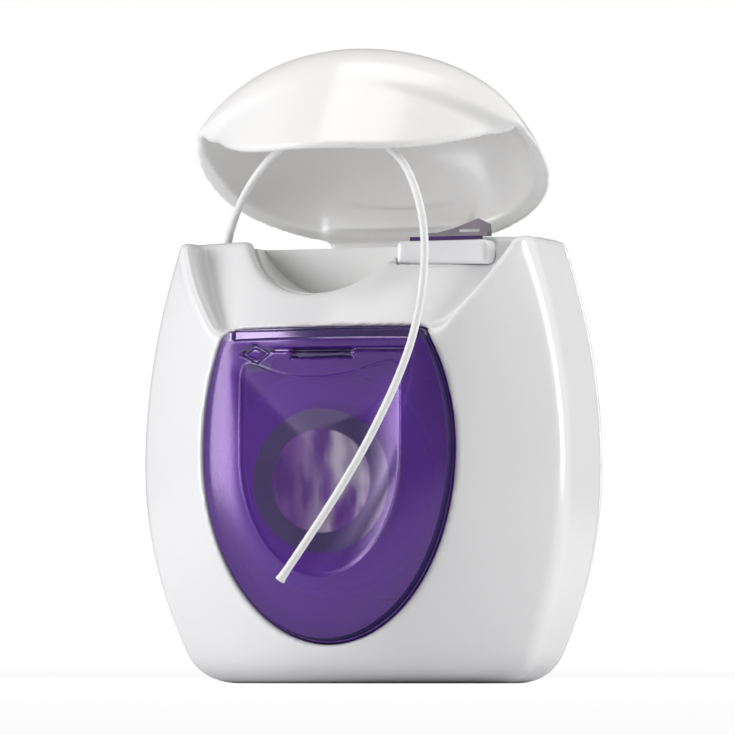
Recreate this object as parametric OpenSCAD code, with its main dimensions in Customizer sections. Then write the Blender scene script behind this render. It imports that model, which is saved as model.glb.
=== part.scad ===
// Dental floss dispenser with a flip-top lid, a translucent window and a spool that turns on a hub.
// Millimetres. X runs to the right, Y to the back and Z up. The origin is at the middle of the base,
// half way between the two creases of the side band. The lid is drawn open, as it stands at rest.

/* [Case] */
// Greatest width of the case
case_w = 47.7; // [44:0.1:52]
// Width of the case at the deck, where the lid sits
deck_w = 39.2; // [37:0.2:41]
// Width of the case at its base
base_w = 36.8; // [34:0.2:42]
// Height at which the case is widest
waist_h = 23; // [20:0.2:26]
// Height of the deck above the base
deck_h = 47; // [46:0.2:50]
// Depth of the side band between the front and rear creases
band_d = 11.5; // [10.5:0.1:12.5]
// How far the front face bulges ahead of its creases
front_bulge = 11.6; // [10.8:0.1:12.4]
// How far the rear face bulges behind its creases
rear_bulge = 6.6; // [6.2:0.1:8]
// Rounding of the edge round the base
base_round = 2.2; // [1.8:0.1:2.6]
// Wall of both case shells
wall = 1.6; // [1.4:0.05:1.8]

/* [Recess] */
// Width of the recess for the lid's skirt at the deck
recess_top_w = 36.6; // [36:0.2:37]
// Width of the recess at its foot
recess_foot_w = 24.6; // [23:0.2:26]
// Height of the foot of the recess above the base
recess_foot_h = 37; // [36.6:0.1:38]
// Depth of the recess at its foot
recess_foot_d = 2.4; // [2.3:0.05:2.8]
// Depth of the recess at the deck, on the middle line
recess_top_d = 10; // [9.4:0.1:10.4]
// Depth of the recess at the deck, at its sides
recess_side_d = 4; // [3.6:0.1:4.4]
// Radius of the finger scoop
scoop_r = 10; // [9:0.1:10.4]
// Distance of the scoop to the left of the middle line
scoop_off = 2.6; // [2:0.1:3]
// Depth of the scoop below the deck
scoop_d = 6; // [5:0.1:6.4]

/* [Lid] */
// Height of the closed lid above the deck
lid_h = 12.2; // [11:0.1:13.4]
// Wall of the lid
lid_wall = 1.8; // [1.5:0.05:2]
// How far the lid stands open from closed at rest, in degrees
lid_open = 38; // [20:1:80]
// How far the middle of the skirt's lower edge lies below its ends
skirt_rise = 9.3; // [8.8:0.1:9.6]
// Half the width of the skirt at its top
skirt_half_w = 16.5; // [15.5:0.1:18]
// Height above the deck of the crease that bounds the lid's front, on the middle line
lid_crease_h = 8.8; // [8:0.1:9.4]
// How far that crease lies behind the case's front face
lid_lean = 4.9; // [4.4:0.1:5.4]
// Half the width of the lid at its rim
lid_half_w = 19.6; // [19.4:0.1:20]
// How far the lid's front crease stands ahead of the case's
lid_lip = 1.85; // [1.4:0.05:2.2]
// Distance of the hinge axis behind the rear crease of the case
hinge_back = 4.4; // [4.2:0.05:4.6]
// Height of the hinge axis below the deck
hinge_drop = 0.9; // [0.8:0.05:1]
// Radius of the lid's hinge knuckle
knuckle_r = 1.3; // [1.2:0.05:1.4]
// Length of the hinge knuckle
knuckle_w = 16; // [12:0.5:18]
// Radius of the stub pins at the ends of the knuckle
pin_r = 0.7; // [0.6:0.05:0.8]
// Length of each stub pin
pin_len = 1.8; // [1.2:0.1:2.2]

/* [Window] */
// Width of the window
window_w = 27.8; // [26:0.1:28.4]
// Height of the window's widest place above the base
window_mid_h = 24.4; // [23.8:0.1:25]
// Reach of the window's outline below its widest place
window_reach = 20.2; // [19.4:0.1:20.6]
// How far the window stands proud of the case
window_proud = 0.5; // [0.4:0.05:0.8]
// Depth of the dish in the window
dish_d = 2.6; // [2.2:0.05:3]
// Thickness of the window
window_wall = 1.5; // [1.2:0.05:1.7]

/* [Spool] */
// Height of the spool's axis above the base
spool_h = 21.1; // [20.6:0.1:21.6]
// Outer radius of the hub tube on the back of the window
hub_r = 7.5; // [7:0.05:7.8]
// Wall of the hub tube
hub_wall = 1.95; // [1.6:0.05:2.2]
// Radius of the outside of the wound floss
winding_r = 12.3; // [11.6:0.1:12.5]
// Length of the spool along its axis
spool_len = 16; // [15:0.1:17]
// Distance of the spool's front end behind the case's front face
spool_set = 4.4; // [4.2:0.1:4.8]
// Wall of the spool's core
core_wall = 0.9; // [0.7:0.05:1.2]

/* [Cutter] */
// Length of the white bar that carries the cutter
bar_len = 10.2; // [9.6:0.1:10.8]
// Distance of the bar's middle to the right of the middle line
bar_off = 10.5; // [10.2:0.1:10.8]
// Height of the bar
bar_h = 2.6; // [2.4:0.1:3.2]
// How far the top of the bar lies below the deck
bar_drop = 0.5; // [0.2:0.1:0.8]
// Depth of the bar from front to back
bar_d = 3; // [2.6:0.1:3.4]
// Thickness of the steel of the cutter
steel_t = 0.4; // [0.3:0.05:0.5]
// Height of the cutter's tooth above its foot
tooth_h = 1.9; // [1.4:0.1:2.2]
// Length of the cutter's foot
foot_len = 7.2; // [7:0.1:7.6]
// How far the cutter sits to the right of the bar's middle
cutter_shift = 1.2; // [1:0.1:1.4]
// Length of the tab under the cutter
tab_len = 7.6; // [7.2:0.1:8]

/* [Floss] */
// Diameter of the floss
floss_d = 0.9; // [0.7:0.05:1]
// Distance of the exit hole to the left of the middle line
exit_off = 16.3; // [16:0.1:16.4]
// Radius of the exit hole
exit_r = 0.9; // [0.8:0.05:1]

/* [Hidden] */

// One overrun serves every cut
over = 1;
// Gap between pieces that fit in each other
fit = 0.15;
// Gap between pieces that move past each other
gap = 0.3;
// Radial clearance of a pin or a hub in its bore
running = 0.05;
// Facets of a circle
$fn = 96;

// Places of the creases and faces of the case
front_crease_y = -band_d / 2;
rear_crease_y = band_d / 2;
front_y = front_crease_y - front_bulge;
rear_y = rear_crease_y + rear_bulge;
seam_y = rear_crease_y;
hinge_y = rear_crease_y + hinge_back;
hinge_z = deck_h - hinge_drop;
deck_t = wall;

// Steps of a section's front arc and rear arc, and levels of a loft
front_steps = 20;
rear_steps = 16;
case_levels = 9;
lid_levels = 8;
window_steps = 40;
// Roundness of the rear faces: 2 is an ellipse
rear_power = 2.1;
// Share of the band's depth that is drawn in at the base
base_draw_share = 0.45;
// How much the front face rounds off towards the base, as a share of its bulge
base_flat_share = 0.5;
// The same for the rear face
rear_flat_share = 0.08;

// Half the width of the case at a height
function drop_share(z) = z > waist_h ? (z - waist_h) / (deck_h - waist_h) : (waist_h - z) / waist_h;
function half_w(z) = case_w / 2
    - (z > waist_h ? case_w - deck_w : case_w - base_w) / 2 * pow(drop_share(z), 2);

// How much the side band draws in below the waist
function draw(z) = z > waist_h ? 0 : pow(drop_share(z), 2);

// Depth of the rounding of the base edge at a height
function edge(z) = z >= base_round ? 0 : base_round - sqrt(pow(base_round, 2) - pow(base_round - z, 2));

// One level of a loft: a front arc from left to right, then a rear arc back to the left
function section(w, front_c, front_e, rear_c, rear_e, z) = concat(
    [for (i = [0 : front_steps]) let (u = sin(90 * (2 * i / front_steps - 1)))
        [w * u, front_c + (front_e - front_c) * pow(u, 2), z]],
    [for (i = [0 : rear_steps]) let (a = 180 * i / rear_steps, c = cos(a), s = sin(a))
        [w * sign(c) * pow(abs(c), 2 / rear_power), rear_e + (rear_c - rear_e) * pow(s, 2 / rear_power), z]]);

// A closed skin over a list of levels with equal counts of points
module loft(levels) {
    n = len(levels[0]);
    m = len(levels);
    points = [for (level = levels) each level];
    sides = [for (i = [0 : m - 2], j = [0 : n - 1]) let (k = (j + 1) % n)
        each [[i * n + j, (i + 1) * n + j, (i + 1) * n + k], [i * n + j, (i + 1) * n + k, i * n + k]]];
    foot = [for (j = [0 : n - 1]) j];
    top = [for (j = [n - 1 : -1 : 0]) (m - 1) * n + j];
    polyhedron(points, concat([foot], sides, [top]), convexity = 6);
}

// The outline of the case at a height, drawn in all round by a depth
function case_section(z, depth, level) = let (g = depth + edge(z))
    section(
        half_w(z) - g,
        front_y + g + front_bulge * base_flat_share * draw(z),
        front_crease_y * (1 - base_draw_share * draw(z)) + g / 2,
        rear_y - g - rear_bulge * rear_flat_share * draw(z),
        rear_crease_y * (1 - base_draw_share * draw(z) / 2) - g / 2,
        level);

// Heights of the levels of the case: close together round the base edge
function case_heights() = concat(
    [for (i = [0 : 3]) base_round * (1 - cos(90 * i / 3))],
    [for (i = [1 : case_levels]) base_round + (deck_h - base_round) * i / case_levels]);

module case_solid() {
    loft([for (z = case_heights()) case_section(z, 0, z)]);
}

// The hollow inside the shells, open at the deck
module case_hollow() {
    span = deck_h - wall;
    loft(concat(
        [for (i = [0 : case_levels]) let (z = wall + span * i / case_levels)
            case_section(max(z, base_round), wall, z)],
        [case_section(deck_h, wall, deck_h + over)]));
}

// The outline of the recess, drawn in or out by a margin: its sides spread towards the deck in a slight bow
recess_steps = 8;
recess_bow_share = 0.35;
module recess_outline(margin) {
    foot_z = recess_foot_h - margin;
    span = deck_h + over - foot_z;
    right = [for (i = [0 : recess_steps]) let (z = foot_z + span * i / recess_steps,
            u = (z - recess_foot_h) / (deck_h - recess_foot_h))
        [recess_foot_w / 2 + margin + (recess_top_w - recess_foot_w) / 2 * u * (1 + recess_bow_share * (1 - u)), z]];
    left = [for (i = [recess_steps : -1 : 0]) [-right[i][0], right[i][1]]];
    translate([0, seam_y, 0]) rotate([90, 0, 0]) linear_extrude(seam_y - front_y + over) polygon(concat(right, left));
}

// The body whose front face is the sloping panel at the back of the recess
module panel_body(depth) {
    low = recess_foot_h - 2 * wall;
    high = deck_h + over;
    steps = 6;
    span = deck_h - recess_foot_h;
    loft([for (i = [0 : steps]) let (z = low + (high - low) * i / steps, u = (z - recess_foot_h) / span)
        section(
            half_w(min(z, deck_h)),
            front_y + depth + recess_foot_d + (recess_top_d - recess_foot_d) * u,
            front_crease_y + depth + recess_foot_d + (recess_side_d - recess_foot_d) * u,
            rear_y, rear_crease_y, z)]);
}

// The outline of the window: an oval cut straight at the foot of the recess
function window_half(z, margin) = (window_w / 2 + margin)
    * sqrt(max(0, 1 - pow((z - window_mid_h) / (window_reach + margin), 2)));

module window_prism(margin) {
    top_z = recess_foot_h + margin;
    foot_z = window_mid_h - window_reach - margin;
    steps = window_steps;
    right = [for (i = [0 : steps]) let (z = foot_z + (top_z - foot_z) * (1 - cos(90 * i / steps)))
        [window_half(z, margin), z]];
    left = [for (i = [steps : -1 : 1]) [-right[i][0], right[i][1]]];
    translate([0, front_crease_y + 2 * wall, 0]) rotate([90, 0, 0])
        linear_extrude(front_bulge + 3 * wall) polygon(concat(right, left));
}

// The round scoop for a finger, from the front to its back wall
scoop_z = deck_h - scoop_d + scoop_r;
scoop_back_y = front_crease_y + band_d / 3;
module scoop(r, back_y) {
    translate([-scoop_off, back_y, scoop_z]) rotate([90, 0, 0]) cylinder(r = r, h = back_y - front_y);
}

// The bar's outline, with round ends, from its front to its back
bar_front_y = front_crease_y - bar_d / 2;
bar_top_z = deck_h - bar_drop;
module bar_solid(margin) {
    r = bar_h / 3;
    translate([bar_off, bar_front_y - margin, bar_top_z - bar_h / 2]) rotate([-90, 0, 0])
        linear_extrude(bar_d + 2 * margin) union() {
            for (side = [-1, 1], level = [-1, 1])
                translate([side * (bar_len / 2 - r), level * (bar_h / 2 - r)]) circle(r + margin);
            square([bar_len - 2 * r, bar_h + 2 * margin], center = true);
            square([bar_len + 2 * margin, bar_h - 2 * r], center = true);
        }
}

// Room above the bar for the cutter
module bar_room() {
    translate([bar_off - bar_len / 2 - fit, bar_front_y - fit, bar_top_z - bar_h / 2])
        cube([bar_len + 2 * fit, bar_d + 2 * fit, bar_h]);
}

// The hinge ears stand on the rear shell, at the ends of the knuckle
ear_t = pin_len;
ear_r = knuckle_r + gap / 2;
ear_x = knuckle_w / 2 + gap;
module hinge_rod(r, length) {
    translate([-length / 2, hinge_y, hinge_z]) rotate([0, 90, 0]) cylinder(r = r, h = length);
}

module behind_seam() {
    translate([-case_w, seam_y, -over]) cube([2 * case_w, rear_bulge + over, deck_h + 3 * over]);
}

module before_seam() {
    depth = seam_y - front_y + over;
    translate([-case_w, seam_y - depth, -over]) cube([2 * case_w, depth, deck_h + 3 * over]);
}

// White front half of the case
module front_shell() {
    color("whitesmoke") difference() {
        intersection() {
            union() {
                difference() {
                    case_solid();
                    case_hollow();
                }
                difference() {
                    intersection() {
                        case_solid();
                        recess_outline(wall);
                    }
                    panel_body(wall);
                }
            }
            before_seam();
        }
        difference() {
            recess_outline(0);
            panel_body(0);
        }
        window_prism(fit);
        scoop(scoop_r + fit, scoop_back_y);
        bar_solid(fit);
        bar_room();
    }
}

// White rear half of the case with the two hinge ears
module rear_shell() {
    color("whitesmoke") difference() {
        union() {
            difference() {
                intersection() {
                    case_solid();
                    behind_seam();
                }
                case_hollow();
                hinge_rod(knuckle_r + gap, knuckle_w + 2 * gap);
                translate([-knuckle_w / 2 - gap, seam_y, hinge_z]) cube([knuckle_w + 2 * gap, rear_bulge, over]);
            }
            for (side = [-1, 1])
                translate([side * (ear_x + ear_t / 2), 0, 0]) ear();
        }
        hinge_rod(pin_r + running, knuckle_w + 2 * (gap + ear_t + over));
    }
}

// One hinge ear: a round eye on a foot that runs down the inside of the rear wall
module ear() {
    foot_h = 4 * ear_r;
    intersection() {
        translate([-ear_t / 2, hinge_y, hinge_z]) rotate([0, 90, 0]) cylinder(r = ear_r, h = ear_t);
        translate([-ear_t, hinge_y - 2 * ear_r, deck_h - 4 * ear_r]) cube([2 * ear_t, 4 * ear_r, 4 * ear_r]);
    }
    intersection() {
        translate([-ear_t / 2, hinge_y - ear_r, hinge_z - foot_h]) cube([ear_t, 2 * ear_r, foot_h]);
        loft([for (z = [hinge_z - foot_h, hinge_z]) case_section(z, wall / 2, z)]);
    }
}

// White plate under the lid, with the exit hole and the bowl of the finger scoop
module deck_plate() {
    top_z = deck_h - wall / 2;
    color("gainsboro") difference() {
        intersection() {
            union() {
                translate([-case_w, front_y, top_z - deck_t]) cube([2 * case_w, hinge_y - knuckle_r - 2 * gap - front_y, deck_t]);
                intersection() {
                    scoop(scoop_r + wall, scoop_back_y + wall);
                    translate([-case_w, front_y, 0]) cube([2 * case_w, case_w, top_z]);
                }
            }
            loft([for (z = [spool_h, deck_h]) case_section(z, wall + fit, z)]);
            panel_body(wall + fit);
        }
        scoop(scoop_r, scoop_back_y);
        bar_solid(fit);
        bar_room();
        translate([-exit_off, 0, 0]) cylinder(r = exit_r, h = deck_h);
    }
}

// Places of the lid's outline: its middle, its rear and its front crease
lid_rear_y = hinge_y;
lid_mid_y = front_crease_y / 2;
lid_crease_y = front_crease_y - lid_lip;
lid_rim_z = deck_h + gap / 2;
// The dome falls off towards the front as a parabola of this length
lid_fall = 21;
lid_soft = 1.5;
lean_share = 0.455;

// Share of the way from the lid's middle line to its rim
function rim_share(x, y, w, reach) = min(1, y > lid_mid_y
    ? pow(pow(abs(x) / w, rear_power) + pow((y - lid_mid_y) / reach, rear_power), 1 / rear_power) : abs(x) / w);
function soft_min(a, b, r) = min(a, b) - pow(max(r - abs(a - b), 0), 2) / (4 * r);

// Height of the lid above its rim: the lower of a dome and of a front that leans back from the case's front face
function lid_rise(x, y, depth) = let (
        w = lid_half_w - depth,
        reach = lid_rear_y - depth - lid_mid_y,
        fall = y < lid_mid_y ? 1 - pow((lid_mid_y - y) / lid_fall, 2) : 1,
        top = (lid_h - depth) * fall * (1 - pow(rim_share(x, y, w, reach), 2)),
        ahead = y - front_y - depth - (lid_crease_y - front_y - depth / 2) * pow(x / w, 2),
        face = lid_crease_h * pow(max(0, ahead) / lid_lean, lean_share))
    max(0, soft_min(top, face, lid_soft));

// The dome of the lid, drawn in by a depth, in the closed place
module dome(depth, foot_z) {
    rim = section(lid_half_w - depth, front_y + depth, lid_crease_y + depth / 2, lid_rear_y - depth, lid_mid_y,
        lid_rim_z);
    rings = [for (i = [0 : lid_levels]) 1 - pow(i / (lid_levels + 1 / 2), 2)];
    levels = [for (t = rings) [for (p = rim) let (x = t * p[0], y = lid_mid_y + t * (p[1] - lid_mid_y))
        [x, y, lid_rim_z + (t == 1 ? 0 : lid_rise(x, y, depth))]]];
    loft(concat(foot_z < lid_rim_z ? [[for (p = levels[0]) [p[0], p[1], foot_z]]] : [], levels));
}

// The outline of the skirt: its lower edge is a curve that rises to both sides
skirt_steps = 24;
skirt_power = 2.6;
module skirt_outline() {
    half = skirt_half_w;
    edge_line = [for (i = [0 : skirt_steps]) let (u = 2 * i / skirt_steps - 1)
        [half * u, recess_foot_h + gap + skirt_rise * pow(abs(u), skirt_power)]];
    translate([0, seam_y, 0]) rotate([90, 0, 0]) linear_extrude(seam_y - front_y + over)
        polygon(concat(edge_line, [[half, lid_rim_z], [-half, lid_rim_z]]));
}

// The skirt fills the recess when the lid is closed
module skirt() {
    intersection() {
        difference() {
            case_solid();
            loft([for (z = case_heights()) case_section(z, lid_wall, z == 0 ? -over : z)]);
        }
        recess_outline(-gap);
        skirt_outline();
        translate([-case_w, front_y - over, recess_foot_h]) cube([2 * case_w, front_bulge + over, deck_h - recess_foot_h]);
    }
    intersection() {
        difference() {
            loft([for (z = [deck_h, lid_rim_z]) case_section(deck_h, 0, z)]);
            loft([for (z = [deck_h - over, lid_rim_z + over]) case_section(deck_h, lid_wall, z)]);
        }
        recess_outline(-gap);
        translate([-case_w, front_y - over, deck_h - over]) cube([2 * case_w, front_bulge + over, 2 * over]);
    }
}

// White flip-top lid with its skirt, knuckle and stub pins
module lid() {
    color("white") translate([0, hinge_y, hinge_z]) rotate([-lid_open, 0, 0]) translate([0, -hinge_y, -hinge_z]) {
        difference() {
            dome(0, lid_rim_z);
            dome(lid_wall, lid_rim_z - over);
            hinge_rod(ear_r + gap, 2 * (ear_x + ear_t + gap));
        }
        skirt();
        hinge_rod(knuckle_r, knuckle_w);
        hinge_rod(pin_r, knuckle_w + 2 * (gap + pin_len));
        intersection() {
            dome(0, lid_rim_z);
            translate([-knuckle_w / 2, hinge_y - 2 * lid_wall, lid_rim_z]) cube([knuckle_w, 2 * lid_wall, 2 * knuckle_r]);
        }
    }
}

// Share of the window's half width and of its dish depth, from the middle to the edge
ring_shares = [0.22, 0.42, 0.56, 0.64, 0.74, 0.86, 0.95, 1];
dish_shares = [1, 0.85, 0.55, 0.3, 0.15, 0.03, 0, 0.2];

// Translucent window: a rim that stands proud, a dish and the hub tube on its back
module window() {
    n = window_steps;
    rings = len(ring_shares);
    mid_z = spool_h;
    top_z = recess_foot_h;
    edge_point = [for (j = [0 : n - 1]) let (a = 360 * j / n, z = window_mid_h + window_reach * sin(a),
            zz = min(z, top_z), x = window_half(zz, 0) * sign(cos(a)), xx = z > top_z ? window_half(top_z, 0)
                * cos(a) / cos(asin((top_z - window_mid_h) / window_reach)) : x)
        [xx, zz]];
    front = concat([face_point([0, mid_z], dish_d)], [for (i = [0 : rings - 1], j = [0 : n - 1])
        face_point([edge_point[j][0] * ring_shares[i], mid_z + (edge_point[j][1] - mid_z) * ring_shares[i]],
            dish_d * dish_shares[i])]);
    back = [for (p = front) p + [0, window_wall, 0]];
    m = len(front);
    fan = [for (j = [0 : n - 1]) [0, 1 + (j + 1) % n, 1 + j]];
    skin = [for (i = [0 : rings - 2], j = [0 : n - 1]) let (k = (j + 1) % n, a = 1 + i * n, b = 1 + (i + 1) * n)
        each [[a + j, a + k, b + k], [a + j, b + k, b + j]]];
    rim = [for (j = [0 : n - 1]) let (k = (j + 1) % n, a = 1 + (rings - 1) * n)
        each [[a + j, a + k, m + a + k], [a + j, m + a + k, m + a + j]]];
    front_faces = concat(fan, skin);
    back_faces = [for (f = front_faces) [m + f[0], m + f[2], m + f[1]]];
    color([0.4, 0.2, 0.65, 0.6]) union() {
        polyhedron(concat(front, back), concat(front_faces, back_faces, rim), convexity = 6);
        hub_start_y = front_y - window_proud + dish_d + window_wall / 2;
        translate([0, hub_start_y, 0]) hub_tube(hub_end_y - hub_start_y);
    }
}

// A point on the front of the window, sunk below its proud face by a depth
function face_point(p, depth) = let (w = half_w(p[1]), c = front_y + front_bulge * base_flat_share * draw(p[1]),
        e = front_crease_y * (1 - base_draw_share * draw(p[1])))
    [p[0], c + (e - c) * pow(p[0] / w, 2) - window_proud + depth, p[1]];

module hub_tube(length) {
    translate([0, 0, spool_h]) rotate([-90, 0, 0]) difference() {
        cylinder(r = hub_r, h = length);
        translate([0, 0, window_wall / 2]) cylinder(r = hub_r - hub_wall, h = length);
    }
}

// Places of the spool's ends along its axis
spool_start_y = front_y + spool_set;
hub_end_y = spool_start_y + spool_len + gap;

// Purple cradle at the back of the spool, with the plug that holds the hub tube
module inner_frame() {
    plug_len = 3 * wall;
    seat_y = rear_y - wall - gap;
    color([0.35, 0.15, 0.6]) translate([0, hub_end_y, spool_h]) rotate([-90, 0, 0]) {
        difference() {
            union() {
                cylinder(r = winding_r, h = wall);
                translate([0, 0, -plug_len]) cylinder(r = hub_r - hub_wall - 2 * running, h = plug_len + wall);
                cylinder(r = hub_r - hub_wall, h = seat_y - hub_end_y);
            }
            translate([0, 0, -plug_len - over])
                cylinder(r = hub_r - 2 * hub_wall, h = plug_len + seat_y - hub_end_y + 2 * over);
        }
    }
}

// Core of the spool, running on the hub tube
module bobbin_core() {
    translate([0, spool_start_y, spool_h]) color("lavender") rotate([-90, 0, 0]) difference() {
        cylinder(r = hub_r + running + core_wall, h = spool_len);
        translate([0, 0, -over]) cylinder(r = hub_r + running, h = spool_len + 2 * over);
    }
}

// A round tube swept along a list of points, with a level side at every ring
function unit(v) = v / norm(v);
function along(path, i) = unit(path[min(i + 1, len(path) - 1)] - path[max(i - 1, 0)]);
module tube(path, r, sides, up) {
    m = len(path);
    points = [for (i = [0 : m - 1]) let (t = along(path, i), a = unit(cross(t, up)), b = cross(t, a))
        each [for (j = [0 : sides - 1]) let (w = 360 * j / sides) path[i] + r * (cos(w) * a + sin(w) * b)]];
    walls = [for (i = [0 : m - 2], j = [0 : sides - 1]) let (k = (j + 1) % sides)
        each [[i * sides + j, (i + 1) * sides + k, i * sides + k],
            [i * sides + j, (i + 1) * sides + j, (i + 1) * sides + k]]];
    polyhedron(points, concat([[for (j = [0 : sides - 1]) j]], walls,
        [[for (j = [sides - 1 : -1 : 0]) (m - 1) * sides + j]]), convexity = 8);
}

// The wound floss: its outer layer is one tube, over a plain core of the layers below
loops = 10;
loop_rings = 24;
loop_sides = 6;
lay_r = winding_r - floss_d / 2;
lay_core_r = (lay_r - floss_d / 2) * cos(180 / loop_rings) - 2 * running;
lay_pitch = (spool_len - 2 * floss_d) / loops;
function lay_point(k) = let (a = 360 * k / loop_rings)
    [lay_r * cos(a), spool_start_y + floss_d + lay_pitch * k / loop_rings, spool_h + lay_r * sin(a)];
lay_path = [for (k = [0 : loops * loop_rings]) lay_point(k)];
lay_gap = min([for (k = [0 : loop_rings], j = [-2 : 2])
    norm(lay_path[k] - lay_path[min(max(k + loop_rings + j, 0), len(lay_path) - 1)])]) - floss_d;
echo("least gap of the winding to itself", lay_gap);
module floss_winding() {
    color("white") {
        translate([0, spool_start_y + floss_d / 2, spool_h]) rotate([-90, 0, 0]) difference() {
            cylinder(r = lay_core_r, h = spool_len - floss_d);
            translate([0, 0, -over])
                cylinder(r = hub_r + running + core_wall, h = spool_len + 2 * over);
        }
        tube(lay_path, floss_d / 2, loop_sides, [0, 1, 0]);
    }
}

// Floss on its way from the winding up to the exit hole
exit_z = deck_h - wall / 2;
// Shares of the way across, back and up at each point of its path
feed_shares = [[0, 0, 0], [0.11, 0, 0.26], [0.48, 0.4, 0.54], [0.88, 0.9, 0.81], [1, 1, 1]];
module floss_feed() {
    foot = [-winding_r - floss_d / 2 - gap, -floss_d, spool_h + winding_r / 4];
    top = [-exit_off, 0, exit_z];
    path = [for (s = feed_shares) [for (k = [0 : 2]) foot[k] + (top[k] - foot[k]) * s[k]]];
    color("white") tube(curve(path, 5), floss_d / 2, 8, [0, 1, 0]);
}

// Smooth curve through a list of points
function pick(p, i) = p[min(max(i, 0), len(p) - 1)];
function between(p, i, t) = let (a = pick(p, i - 1), b = pick(p, i), c = pick(p, i + 1), d = pick(p, i + 2))
    (2 * b + (c - a) * t + (2 * a - 5 * b + 4 * c - d) * t * t + (3 * b - a - 3 * c + d) * t * t * t) / 2;
function curve(p, n) = concat([for (i = [0 : len(p) - 2], k = [0 : n - 1]) between(p, i, k / n)], [p[len(p) - 1]]);

// Route of the free floss, by hand: up from the exit hole, over in the open lid, down past the window
strand_route = [
    [-16.3, 0, 46.2], [-16.3, 0, 47.2], [-16, -0.4, 47.9], [-15.7, -0.8, 48.5], [-14.8, -1.6, 50.1],
    [-13.7, -2.6, 51.6], [-12.4, -3.6, 53.1], [-10.6, -4.9, 54.7], [-8.8, -6.1, 56], [-6.2, -7.6, 57.3],
    [-2.3, -9.3, 58.1], [1.6, -10.8, 57.9], [4.7, -11.9, 57], [6.8, -12.6, 55.7], [8.5, -13.2, 54],
    [9.8, -13.8, 51.7], [10.7, -14.3, 49.2], [11.2, -14.7, 46.8], [11.4, -15.1, 44.4], [11.4, -15.6, 41.6],
    [11.1, -16.2, 38.4], [10.3, -16.9, 34.6], [8.9, -17.6, 30.6], [7.2, -18.2, 26.8], [5.6, -18.6, 23.7],
    [3.9, -18.9, 20.8], [2, -19, 17.9], [0, -19.1, 15], [-1.8, -19.1, 12.5], [-3.1, -19.1, 10.7]];
module floss_strand() {
    color("white") tube(curve(strand_route, 2), floss_d / 2, 8, [0.2, 1, 0.1]);
}

// White bar with round ends that carries the cutter
module cutter_block() {
    color("white") difference() {
        bar_solid(0);
        translate([bar_off - tab_len / 2 - fit, bar_front_y + bar_d / 4 - fit, bar_top_z - bar_h / 2])
            cube([tab_len + 2 * fit, bar_d / 2 + 2 * fit, bar_h]);
    }
}

// Purple tab in the bar, under the steel
carrier_top_z = bar_top_z + steel_t;
module cutter_carrier() {
    foot_z = bar_top_z - bar_h / 2;
    color([0.35, 0.15, 0.6]) translate([bar_off - tab_len / 2, bar_front_y + bar_d / 4, foot_z])
        cube([tab_len, bar_d / 2, carrier_top_z - foot_z]);
}

// Stamped steel cutter: a foot on the tab and a raised tooth with a slot
tooth_x_shares = [0, 0.42, 0.81, 0.985, 1];
tooth_z_shares = [0.1, 0.45, 1, 0.67, 0.2];
module floss_cutter() {
    left = bar_off + cutter_shift - foot_len / 2;
    outline = [for (i = [0 : len(tooth_x_shares) - 1]) [left + foot_len * tooth_x_shares[i], tooth_h * tooth_z_shares[i]]];
    tooth_y = bar_front_y + 3 * bar_d / 4;
    color("dimgray") translate([0, 0, carrier_top_z]) difference() {
        union() {
            translate([left, bar_front_y + bar_d / 4, 0]) cube([foot_len, bar_d / 2, steel_t]);
            translate([0, tooth_y, 0]) rotate([90, 0, 0])
                linear_extrude(steel_t) polygon(concat([[left + foot_len, 0], [left, 0]], outline));
        }
        translate([left + foot_len / 2, tooth_y - steel_t - over, steel_t])
            cube([foot_len / 3, steel_t + 2 * over, steel_t]);
    }
}

front_shell();
rear_shell();
deck_plate();
lid();
window();
inner_frame();
bobbin_core();
floss_winding();
floss_feed();
floss_strand();
cutter_block();
cutter_carrier();
floss_cutter();
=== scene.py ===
"""Looks of the dental floss dispenser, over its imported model.

X runs to the right, Y to the back and Z up, with the origin in the middle of the base, as in the
model. Shapes are worked out in millimetres and put into meshes in metres.
"""
import math

import bmesh
import bpy
import numpy as np
from mathutils import Matrix, Vector


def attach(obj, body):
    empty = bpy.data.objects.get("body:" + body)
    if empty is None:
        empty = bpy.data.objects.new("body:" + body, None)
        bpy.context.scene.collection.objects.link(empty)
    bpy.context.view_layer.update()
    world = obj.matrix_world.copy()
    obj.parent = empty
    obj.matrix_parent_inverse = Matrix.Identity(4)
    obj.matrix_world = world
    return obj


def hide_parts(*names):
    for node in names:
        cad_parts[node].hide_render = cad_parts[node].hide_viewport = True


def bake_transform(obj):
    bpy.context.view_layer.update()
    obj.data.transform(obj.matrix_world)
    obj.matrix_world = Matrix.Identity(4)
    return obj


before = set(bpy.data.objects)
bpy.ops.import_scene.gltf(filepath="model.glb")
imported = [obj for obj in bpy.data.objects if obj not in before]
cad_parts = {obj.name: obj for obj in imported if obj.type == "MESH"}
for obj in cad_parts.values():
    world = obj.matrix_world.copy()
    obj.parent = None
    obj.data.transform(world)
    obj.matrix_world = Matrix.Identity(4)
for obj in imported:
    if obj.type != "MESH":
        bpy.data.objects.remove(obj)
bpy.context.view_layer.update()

MM = 0.001

# Sizes of the case, as in the model
CASE_W, DECK_W, BASE_W = 47.7, 39.2, 36.8
WAIST, DECK = 23.0, 47.0
CREASE = 5.75
FRONT_BULGE, REAR_BULGE = 11.6, 6.6
FRONT = -CREASE - FRONT_BULGE
REAR = CREASE + REAR_BULGE
WALL = 1.6
REAR_POWER = 2.1

# Shares by which the front, the creases and the rear are drawn in towards the base
FRONT_IN, CREASE_IN, SIDE_IN, REAR_IN = 0.5, 0.45, 0.225, 0.08

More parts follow.
